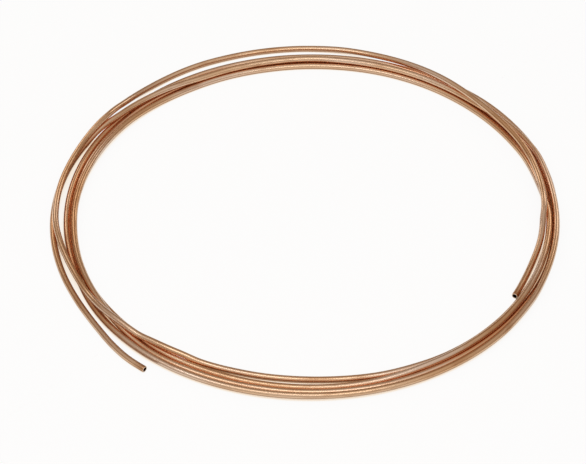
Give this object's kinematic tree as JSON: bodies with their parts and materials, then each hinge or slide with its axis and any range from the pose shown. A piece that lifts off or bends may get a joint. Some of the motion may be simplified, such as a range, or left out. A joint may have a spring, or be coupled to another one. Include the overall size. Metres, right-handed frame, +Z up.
{
  "type": "copper tube coil",
  "caption": "Loose coil of thin soft copper tube lying flat, its turns overlapping in a narrow ring, with both open cut ends showing.",
  "frame": {"origin": "middle of the coil's footprint, on the floor it lies on", "axes": "+Z up through the flat coil, -Y towards the side where the strands lie side by side and the outer cut end is to the left, +X towards the inner cut end"},
  "size_m": [0.5198, 0.5262, 0.0191],
  "materials": {
    "copper": "bright drawn copper, smooth and glossy with faint drawing lines"
  },
  "bodies": {
    "root": {"copper_tube": "copper"}
  },
  "joints": []
}
